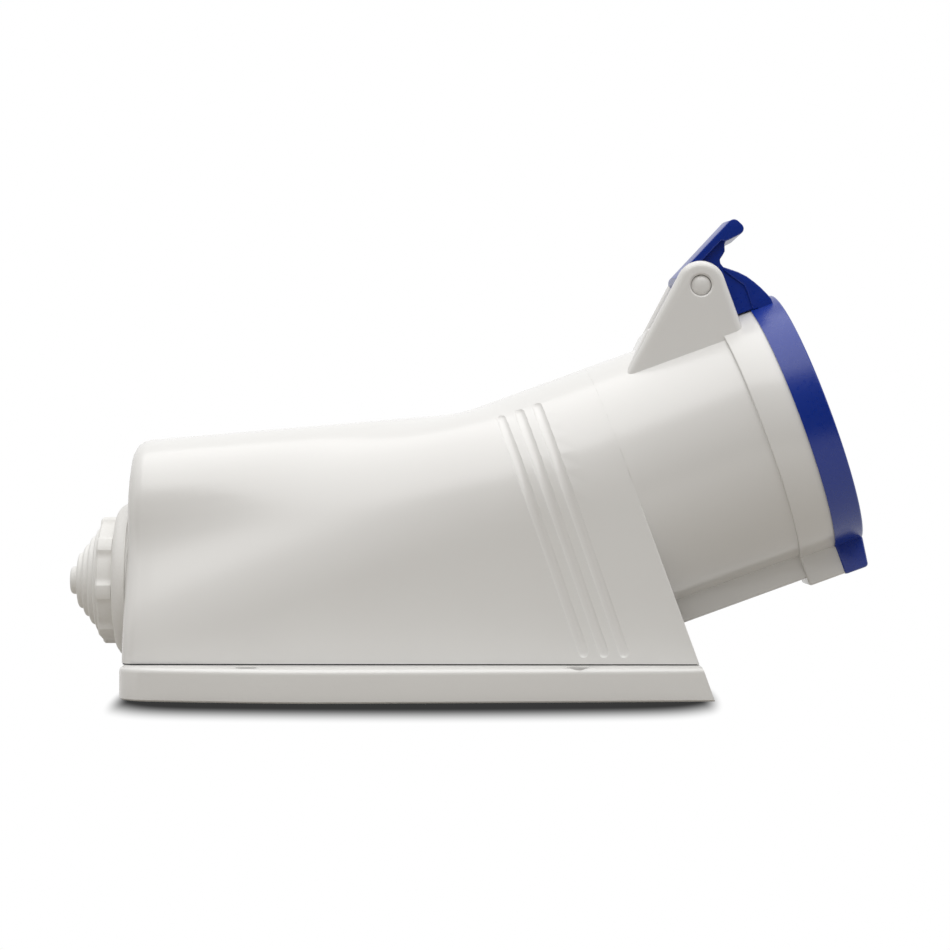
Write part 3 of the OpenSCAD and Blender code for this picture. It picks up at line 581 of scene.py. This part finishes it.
# %% Cone of the gland
GLAND_X, GLAND_Z = -72.8, 28.0
CONE_INSIDE = [(15.4, AXIS_R), (13.2, 5.6), (8.1, 11.6), (6.1, 11.6)]
CONE_COLLAR_R, CONE_BACK, COLLAR_END = 13.9, 6.1, 7.2
RINGS, RING_R, RING_LEN, RING_FALL = 4, 13.6, 1.65, 2.1
FIRST_RING_END = 9.7
NUB_R, NUB_END = 3.6, 16.8
SHOULDER, SHOULDER_STEPS = 1.0, 5


def shoulder(radius, end):
    """The rounded edge of a ring, from its side to its flat end."""
    points = arc((radius - SHOULDER, end - SHOULDER), SHOULDER, 0, 90, SHOULDER_STEPS)
    return [(along, out) for out, along in points]


section = CONE_INSIDE + [(CONE_BACK, CONE_COLLAR_R), (COLLAR_END, CONE_COLLAR_R), (COLLAR_END, RING_R)]
for ring in range(RINGS):
    radius = RING_R - RING_FALL * ring
    end = FIRST_RING_END + RING_LEN * ring
    next_radius = NUB_R if ring == RINGS - 1 else radius - RING_FALL
    section += shoulder(radius, end) + [(end, next_radius)]
section += shoulder(NUB_R, NUB_END) + [(NUB_END, AXIS_R)]
gland_cone = turned("gland_cone_rings", section)
gland_cone.rotation_euler = (0, 0, math.pi)
gland_cone.location = (GLAND_X * MM, 0, GLAND_Z * MM)
bake_place(gland_cone)
bpy.ops.object.shade_smooth_by_angle(angle=math.radians(PIECE_SHARP_DEG))
put_in(gland_cone, "gland_cone")
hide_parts("gland_cone")

# %% [markdown]
# The washer behind the gland is the same pale rubber as the cone, so the joint hardly shows. Its
# solid is listed with the dark seals, so this copy is given the cone's rubber in place of its own finish.

# %% Washer of the gland
gland_washer = smooth_copy("gland_washer", "gland_washer_pale", SMALL_SHARP_DEG)
gland_washer.data.materials[0] = cone_rubber
print(gland_washer.name, "is", cone_rubber.name)

# %% [markdown]
# Three shallow grooves run down each side of the hood. The mould was cut with a ball-nosed tool, so
# they have crisp rims, one width and round ends. The solid's own grooves follow its coarse sections,
# so they are filled first: each point in them is lifted to the level of the skin beside the groove,
# which rays from outside find.

# %% Skin of the hood without grooves
BARREL_R = 32.5
SOLID_GROOVES = (32.8, 37.45, 42.1)
SOLID_GROOVE_REACH = 0.8
FLANK_FROM = 10
BESIDE_GROOVE = 2
LEAST_RISE, MOST_RISE = 0.05, 0.9
RAY_REACH = 80
OFF_BARREL = Vector((-math.sin(TILT), 0, math.cos(TILT)))
AXIS_START = Vector((0, 0, AXIS_Z * MM))


def skin_at(u, side, v, turn):
    """Finds the hood's skin from outside: at a height below the axis, or at a turn up round it."""
    outward = Vector((0, side * math.cos(turn), 0)) + OFF_BARREL * math.sin(turn)
    start = AXIS_START + ALONG_BARREL * u * MM + OFF_BARREL * v * MM + outward * RAY_REACH * MM
    return hood_shell.ray_cast(start, -outward)[1], outward


lifts = []
for vertex in hood_shell.data.vertices:
    offset = vertex.co - AXIS_START
    u = offset.dot(ALONG_BARREL) / MM
    v = offset.dot(OFF_BARREL) / MM
    wide = abs(offset.y) / MM
    groove = min(SOLID_GROOVES, key=lambda g: abs(g - u))
    if abs(u - groove) < SOLID_GROOVE_REACH and wide > FLANK_FROM:
        side = math.copysign(1, offset.y)
        turn = math.atan2(v, wide) if v > 0 else 0
        beside = [skin_at(groove + gap, side, min(v, 0), turn) for gap in (-BESIDE_GROOVE, BESIDE_GROOVE)]
        rise = sum((spot - vertex.co).dot(outward) for spot, outward in beside) / 2
        if LEAST_RISE * MM < rise < MOST_RISE * MM:
            lifts.append((vertex.index, beside[0][1] * rise))
for index, lift in lifts:
    hood_shell.data.vertices[index].co += lift
hood_shell.data.update()
bpy.context.view_layer.update()
print("points lifted:", len(lifts))

# %% [markdown]
# The tool's ball is now a round bar along each groove. It starts low on the flank, climbs to the
# height of the axis and goes on round the barrel, always at the same depth in the skin. Its radius
# follows from the groove's width and depth, and its ends shrink like half a ball. A curve with a
# round bevel makes all six bars.

# %% Bars for the grooves
GROOVE_U, GROOVE_PITCH = 33.0, 4.72
GROOVES = 3
GROOVE_W, GROOVE_DEPTH = 2.6, 0.5
GROOVE_LOW_Z, GROOVE_TURN_DEG = 11.6, 57.2
GROOVE_LEAN = 0.0175
FLANK_STEPS, TURN_STEPS = 12, 14
BALL_END = [math.radians(a) for a in (85, 65, 45, 25)]
BAR_FINENESS = 8
ball = (GROOVE_W ** 2 / 4 + GROOVE_DEPTH ** 2) / (2 * GROOVE_DEPTH)


def groove_line(u, side):
    """Places and sizes along one bar, as the ball runs up the skin."""
    low_v = (GROOVE_LOW_Z - AXIS_Z - u * math.sin(TILT)) / math.cos(TILT)
    stops = [(low_v * (1 - i / FLANK_STEPS), 0) for i in range(FLANK_STEPS)]
    stops += [(0, math.radians(GROOVE_TURN_DEG * i / TURN_STEPS)) for i in range(TURN_STEPS + 1)]
    spots = []
    for v, turn in stops:
        lean = GROOVE_LEAN * (v + BARREL_R * math.sin(turn))
        spot, outward = skin_at(u + lean, side, v, turn)
        spots.append(spot + outward * (ball - GROOVE_DEPTH) * MM)
    down = (spots[0] - spots[1]).normalized()
    up = (spots[-1] - spots[-2]).normalized()
    line = [(spots[0] + down * ball * MM * math.sin(t), math.cos(t)) for t in BALL_END]
    line += [(spot, 1) for spot in spots]
    line += [(spots[-1] + up * ball * MM * math.sin(t), math.cos(t)) for t in reversed(BALL_END)]
    return line


bars = bpy.data.curves.new("groove_bars", "CURVE")
bars.dimensions = "3D"
bars.bevel_depth = ball * MM
bars.bevel_resolution = BAR_FINENESS
bars.use_fill_caps = True
for number in range(GROOVES):
    for side in (-1, 1):
        line = groove_line(GROOVE_U + GROOVE_PITCH * number, side)
        bar = bars.splines.new("POLY")
        bar.points.add(len(line) - 1)
        for point, (spot, size) in zip(bar.points, line):
            point.co = (*spot, 1)
            point.radius = size
print("ball of the tool:", round(ball, 2), "mm in radius")

# %% [markdown]
# The curve becomes a mesh, its ends are closed by merging, and all bars are cut out of the hood at
# once.

# %% Cut the grooves
groove_bars = bpy.data.objects.new("groove_bars", bars)
scene.collection.objects.link(groove_bars)
only(groove_bars)
bpy.ops.object.convert(target="MESH")
bpy.ops.object.mode_set(mode="EDIT")
bpy.ops.mesh.select_all(action="SELECT")
bpy.ops.mesh.remove_doubles(threshold=MERGE * MM)
bpy.ops.mesh.normals_make_consistent(inside=False)
bpy.ops.object.mode_set(mode="OBJECT")
cut_away(hood_shell, bpy.context.object)
print("hood now has", len(hood_shell.data.polygons), "faces")

# %% [markdown]
# The hood's flat front meets its flanks in a long edge on each side of the barrel. On the real hood
# it is soft and catches a thin line of light. Only these edges are picked, by their place, and
# bevelled in edit mode.

# %% Soften the hood's front edge
FRONT_U = 58.4
FRONT_NEAR = 0.02
FLANK_SHARE = 0.995
FRONT_ROUND, FRONT_STEPS = 0.4, 4


def on_front_edge(point):
    """True for a point on the outer edge of the hood's front, below the barrel's axis."""
    offset = point - AXIS_START
    level = offset.dot(ALONG_BARREL) / MM - FRONT_U
    outside = abs(point.y) > BARREL_R * MM * FLANK_SHARE
    return abs(level) < FRONT_NEAR and offset.dot(OFF_BARREL) < 0 and outside


mesh = hood_shell.data
only(hood_shell)
bpy.ops.object.mode_set(mode="EDIT")
bpy.ops.mesh.select_mode(type="EDGE")
bpy.ops.mesh.select_all(action="DESELECT")
bpy.ops.object.mode_set(mode="OBJECT")
for edge in mesh.edges:
    edge.select = all(on_front_edge(mesh.vertices[i].co) for i in edge.vertices)
print("edges softened:", sum(edge.select for edge in mesh.edges))
bpy.ops.object.mode_set(mode="EDIT")
bpy.ops.mesh.bevel(offset=FRONT_ROUND * MM, segments=FRONT_STEPS, affect="EDGES")
bpy.ops.object.mode_set(mode="OBJECT")
bpy.ops.object.shade_smooth_by_angle(angle=math.radians(HOOD_SHARP_DEG))

# %% [markdown]
# The barrel is a round tube with a slightly wider collar at the mouth and a thin lip that the lid
# closes over. It is turned from one section. The section's two ends at the hood are left open by the
# lathe, so they are bridged.

# %% Barrel
COLLAR_U, FACE_U, MOUTH_U = 93.4, 104.4, 106.4
COLLAR_R, LIP_R, BORE_R = 33.4, 31.0, 29.4
CRISP_EDGE, SOFT_EDGE = 0.3, 0.6

outer_side = [(FRONT_U, BARREL_R), (COLLAR_U, BARREL_R), (COLLAR_U, COLLAR_R), (FACE_U, COLLAR_R)]
mouth_and_bore = [(FACE_U, LIP_R), (MOUTH_U, LIP_R), (MOUTH_U, BORE_R), (FRONT_U, BORE_R)]
barrel_tube = turned("barrel_tube", outer_side + mouth_and_bore)
round_edges(barrel_tube, CRISP_EDGE)
only(barrel_tube)
bpy.ops.object.mode_set(mode="EDIT")
bpy.ops.mesh.select_mode(type="EDGE")
bpy.ops.mesh.select_all(action="DESELECT")
bpy.ops.mesh.select_non_manifold()
bpy.ops.mesh.bridge_edge_loops()
bpy.ops.mesh.select_all(action="SELECT")
bpy.ops.mesh.normals_make_consistent(inside=False)
bpy.ops.object.mode_set(mode="OBJECT")
print("barrel:", round(MOUTH_U - FRONT_U, 1), "mm long")

# %% [markdown]
# A key ridge runs under the barrel, hollow inside, so that a plug goes in one way only. It is a
# square bar, and a wider and lower one is its part of the collar. A third bar cuts the slot through
# all three pieces.

# %% Key ridge
KEY_ROOM_BEHIND, KEY_STOP, SLOT_PAST = 1.6, 1, 1
RIDGE = {"half_w": 6.5, "low": 38.0, "top": -29.6}
COLLAR_RIDGE = {"half_w": 7.7, "low": 40.1, "top": -31.2}
SLOT = {"half_w": 4.5, "low": 36.0, "top": 0}


def key_bar(name, from_u, to_u, half_w, low, top):
    """A square bar under the barrel, from a depth below the axis up to a height."""
    deselect()
    bpy.ops.mesh.primitive_cube_add(size=MM, location=((from_u + to_u) / 2 * MM, 0, (top - low) / 2 * MM))
    bar = bpy.context.object
    bar.name = name
    bar.scale = (to_u - from_u, 2 * half_w, top + low)
    bake_place(bar)
    return bar


barrel_key = key_bar("barrel_key", FRONT_U, FACE_U - KEY_STOP, **RIDGE)
round_edges(barrel_key, SOFT_EDGE)
collar_key = key_bar("collar_key", COLLAR_U, FACE_U, **COLLAR_RIDGE)
round_edges(collar_key, SOFT_EDGE)
for piece in (barrel_tube, barrel_key, collar_key):
    cut_away(piece, key_bar("slot_cutter", FRONT_U + KEY_ROOM_BEHIND, MOUTH_U + SLOT_PAST, **SLOT))
set_down(barrel_tube, "barrel", replaces=True)
set_down(barrel_key, "barrel")
set_down(collar_key, "barrel")

# %% [markdown]
# Two ears hold the hinge. They are the same plate, so one is cut to the side drawing: a straight back
# that runs into the round head, and an upright front. Its edges are rounded by two millimetres. The
# small round corner low at the front is cut after that, because the bevel would shrink to fit the
# corner's short edges.

# %% Hinge ear
PIVOT = (92.5, 41.8)
EAR_R, EAR_T, EAR_ROUND = 6.3, 4.2, 2.0
EAR_STEPS = 24
FOOT = (63.4, 24.0)
CORNER_R, CORNER_V = 1.8, 29.5
CUT_PAST, CUT_LOW_V = 2, 20

pivot_reach = math.dist(PIVOT, FOOT)
slope = math.atan2(PIVOT[1] - FOOT[1], PIVOT[0] - FOOT[0])
heading = math.degrees(slope + math.asin(EAR_R / pivot_reach))
ear_front = PIVOT[0] + EAR_R
corner_u = ear_front - CORNER_R
cut_u = ear_front + CUT_PAST
head = arc(PIVOT, EAR_R, 0, 90 + heading, EAR_STEPS)
hinge_ear = plate("hinge_ear_right", [FOOT, (ear_front, FOOT[1])] + head, EAR_T / 2)
round_edges(hinge_ear, EAR_ROUND, steps=6, from_deg=40)
round_corner = arc((corner_u, CORNER_V), CORNER_R, -90, 0, 6)
cut_away(hinge_ear, plate("corner_cutter", round_corner + [(cut_u, CORNER_V), (cut_u, CUT_LOW_V),
                                                           (corner_u, CUT_LOW_V)], EAR_T))
print("ear's back leans by", round(heading), "degrees")

# %% [markdown]
# The ear is drilled for the pin, and the rim of the hole is chamfered, so that a thin bright line
# shows under the pin. Then the ear is copied to the other side. A low wall ties the two together at
# the back.

# %% Pin hole, second ear and wall
PIN_HOLE_R, RIM_R, RIM_DEPTH = 2.66, 3.1, 0.45
EAR_HALF_W = 18.7
WALL_FRONT, WALL_TOP, WALL_TOP_BACK = 80, 36, 76
ear_y = EAR_HALF_W - EAR_T / 2


def lay_across(piece):
    """Turns a piece across the barrel and moves it to the pivot."""
    piece.rotation_euler = (0, 0, math.pi / 2)
    piece.location = (PIVOT[0] * MM, 0, PIVOT[1] * MM)
    bake_place(piece)
    return piece


def move_across(piece, across):
    """Moves a piece sideways, in its mesh."""
    piece.location = (0, across * MM, 0)
    bake_place(piece)


pin_hole = [(EAR_T / 2 - RIM_DEPTH, PIN_HOLE_R), (EAR_T / 2, RIM_R), (EAR_T, RIM_R), (EAR_T, AXIS_R)]
pin_drill = turned("pin_drill", [(-y, r) for y, r in pin_hole[::-1]] + pin_hole, sides=64)
cut_away(hinge_ear, lay_across(pin_drill))
move_across(hinge_ear, -ear_y)
bpy.ops.object.duplicate()
other_ear = bpy.context.object
other_ear.name = "hinge_ear_left"
move_across(other_ear, 2 * ear_y)
ear_wall = plate("ear_wall", [FOOT, (WALL_FRONT, FOOT[1]), (WALL_FRONT, WALL_TOP),
                              (WALL_TOP_BACK, WALL_TOP)], ear_y)
round_edges(ear_wall, SOFT_EDGE)
for piece in (hinge_ear, other_ear, ear_wall):
    set_down(piece, "barrel")

# %% [markdown]
# The pin is pressed in flush. It is turned, with a dome on each end that falls away to a soft edge,
# and shows as a pale disc inside a thin dark ring.

# %% Hinge pin
DOME = [(18.66, AXIS_R), (18.6, 0.8), (18.46, 1.4), (18.24, 1.9), (18.0, 2.3), (17.75, 2.54), (17.5, 2.6)]

hinge_pin = turned("hinge_pin_domed", [(-y, r) for y, r in DOME] + DOME[::-1], sides=64)
set_down(lay_across(hinge_pin), "hinge_pin", replaces=True)

# %% [markdown]
# The lid is a shallow cap with a slightly rounded front edge, turned from one section. Behind its
# seat a thin skirt reaches over the collar. A bump on its rim covers the key. It leans at the front
# and is hollow behind.

# %% Lid cap and key bump
LID_BACK, LID_FACE, LID_FRONT = 104.7, 108.08, 110.48
LID_R, LID_IN, LID_EDGE = 33.8, 31.7, 0.6
SKIRT_BACK, SKIRT_IN = 102.8, 33.5
BUMP_TOP, BUMP_BEND, BUMP_LOW = -31.6, -33.2, -40.4
BUMP_HALF_W, BUMP_LEAN, BUMP_ROUND = 8.1, 1.15, 0.8
BUMP_FRONT = LID_FRONT - 0.1
BUMP_ROOM = {"half_w": 7.8, "low": 40.2, "top": -30}

cap_rim = [(LID_FRONT - LID_EDGE * (1 - math.sin(t)), LID_R - LID_EDGE * (1 - math.cos(t)))
           for t in [math.radians(a) for a in range(0, 91, 15)]]
inner_side = [(LID_FACE, AXIS_R), (LID_FACE, LID_IN), (LID_BACK, LID_IN), (LID_BACK, SKIRT_IN),
              (SKIRT_BACK, SKIRT_IN), (SKIRT_BACK, LID_R)]
lid_cap = turned("lid_cap", inner_side + cap_rim + [(LID_FRONT, AXIS_R)], sides=160)
lid_key = plate("lid_key", [(SKIRT_BACK, BUMP_TOP), (SKIRT_BACK, BUMP_LOW),
                            (LID_FRONT - BUMP_LEAN, BUMP_LOW), (BUMP_FRONT, BUMP_BEND),
                            (BUMP_FRONT, BUMP_TOP)], BUMP_HALF_W)
round_edges(lid_key, BUMP_ROUND)
cut_away(lid_key, key_bar("key_room", SKIRT_BACK - 1, LID_BACK, **BUMP_ROOM))
print("lid:", 2 * LID_R, "mm across")

# %% [markdown]
# An arm in two levels carries the lid from the hinge: a panel, and over its front edge a rib that is
# a little wider. Both share that curved edge. Their drawings are measured from the pivot.

# %% Panel and rib of the arm
LID_HALF_W = 13.9
PANEL_IN, RIB_IN = 2, 1.5
ARM_EDGE = [(7.6, 2.6), (9, 1.5), (10.6, 0.2), (12.3, -1.6), (13.7, -3.7), (14.8, -5.7), (15.7, -7.7),
            (16.3, -9.2), (16.3, -14)]
PANEL_TOP = [(-4.7, 2.6), (12.2, 11.2), (12, 9.3), (10.8, 9), (9.9, 8.1), (9.3, 6.3), (8.4, 5.5),
             (7.4, 4.8), (7.2, 3.8)]
PANEL_LOW = [(4, -14), (2, -3.4), (0, -3)]
RIB_BACK = [(10.8, -14), (11, -5.6), (10.9, -3.6), (9.1, -1), (7.3, 1.6)]


def at_pivot(points):
    """A drawing that is measured from the pivot, moved there."""
    return [(PIVOT[0] + a, PIVOT[1] + b) for a, b in points]


arm_panel = plate("arm_panel", at_pivot(PANEL_TOP + ARM_EDGE + PANEL_LOW), LID_HALF_W - PANEL_IN)
round_edges(arm_panel, CRISP_EDGE)
arm_rib = plate("arm_rib", at_pivot(ARM_EDGE + RIB_BACK), LID_HALF_W - RIB_IN)
round_edges(arm_rib, CRISP_EDGE)
print("arm:", 2 * (LID_HALF_W - RIB_IN), "mm wide")

# %% [markdown]
# The arm must clear the collar, sit on the cap without filling it, and leave room for the spring and
# the pin. Each room is cut with a turned piece. Spring and pin share a stepped bar, because two bars
# cut one after the other can leave stray faces where they meet. Two knuckles on the pin, one modelled
# for each side, close the arm's ends.

# %% Rooms in the arm and knuckles
ROOM_BACK, ROOM_FRONT = 85, 120
COLLAR_ROOM_R, CAP_ROOM_R, CAP_OVERLAP = 34, 32.5, 0.1
SPRING_ROOM_R, SPRING_ROOM_HALF_W = 4.9, 8.3
PIN_ROOM_R, PIN_ROOM_HALF_W = 2.68, 20
KNUCKLE_R, KNUCKLE_HALF_W = 5.4, 2.8


def disc(name, from_u, to_u, radius, sides=128):
    """A solid disc on the axis."""
    return turned(name, [(from_u, AXIS_R), (from_u, radius), (to_u, radius), (to_u, AXIS_R)], sides)


def across_pivot(name, radius, half_w):
    """A round bar across the barrel at the pivot."""
    return lay_across(disc(name, -half_w, half_w, radius, sides=64))


for piece in (arm_panel, arm_rib):
    cut_away(piece, disc("collar_room", ROOM_BACK, LID_BACK, COLLAR_ROOM_R))
    cut_away(piece, disc("cap_room", LID_BACK - CAP_OVERLAP, ROOM_FRONT, CAP_ROOM_R))
half_bar = [(-PIN_ROOM_HALF_W, AXIS_R), (-PIN_ROOM_HALF_W, PIN_ROOM_R), (-SPRING_ROOM_HALF_W, PIN_ROOM_R),
            (-SPRING_ROOM_HALF_W, SPRING_ROOM_R)]
stepped_bar = half_bar + [(-along, radius) for along, radius in half_bar[::-1]]
cut_away(arm_panel, lay_across(turned("spring_and_pin_room", stepped_bar, sides=64)))
knuckles = []
for side, side_name in ((-1, "right"), (1, "left")):
    knuckle = across_pivot("knuckle_" + side_name, KNUCKLE_R, KNUCKLE_HALF_W)
    round_edges(knuckle, CRISP_EDGE)
    cut_away(knuckle, across_pivot("pin_room", PIN_ROOM_R, PIN_ROOM_HALF_W))
    move_across(knuckle, side * (LID_HALF_W - KNUCKLE_HALF_W))
    knuckles.append(knuckle)
print("knuckles:", len(knuckles))

# %% [markdown]
# A tab with a finger hook lifts the lid. It is a plate too, built in layers across, so that its top
# can be crowned: the middle is raised a little and the sides are left where they are.

# %% Lift tab
TAB_TURN = math.radians(26.9)
TAB_BACK, TAB_LOW, TAB_TOP = -2.7, 4.05, 5.85
HOOK_U, HOOK_R = 17.4, 1.5
HOOK_LOW_V, HOOK_TOP_V = 2.95, 4.3
HOOK_HOLLOW = [(12.3, TAB_LOW), (12.9, 3.2), (13.6, 2.75), (14.8, 2.3)]
CROWN, TOP_NEAR = 0.9, 0.05
TAB_ROUND = 0.35

hook_end = arc((HOOK_U, HOOK_LOW_V), HOOK_R, -110, 0, 7) + arc((HOOK_U, HOOK_TOP_V), HOOK_R, 0, 80, 6)
lift_tab = plate("lift_tab", [(TAB_BACK, TAB_TOP), (TAB_BACK, TAB_LOW)] + HOOK_HOLLOW + hook_end
                 + [(HOOK_U, TAB_TOP)], LID_HALF_W, layers=12)
for vertex in lift_tab.data.vertices:
    if vertex.co.z > (TAB_TOP - TOP_NEAR) * MM:
        vertex.co.z += CROWN * MM * (1 - (vertex.co.y / (LID_HALF_W * MM)) ** 2)
round_edges(lift_tab, TAB_ROUND, from_deg=35)
lift_tab.rotation_euler = (0, -TAB_TURN, 0)
lift_tab.location = (PIVOT[0] * MM, 0, PIVOT[1] * MM)
bake_place(lift_tab)
set_down(lid_cap, "lid", replaces=True)
for piece in [lid_key, arm_panel, arm_rib, lift_tab] + knuckles:
    set_down(piece, "lid")

# %% [markdown]
# The colours are shown as they are, without a film look.

# %% Colours and end
scene.view_settings.view_transform = "Standard"
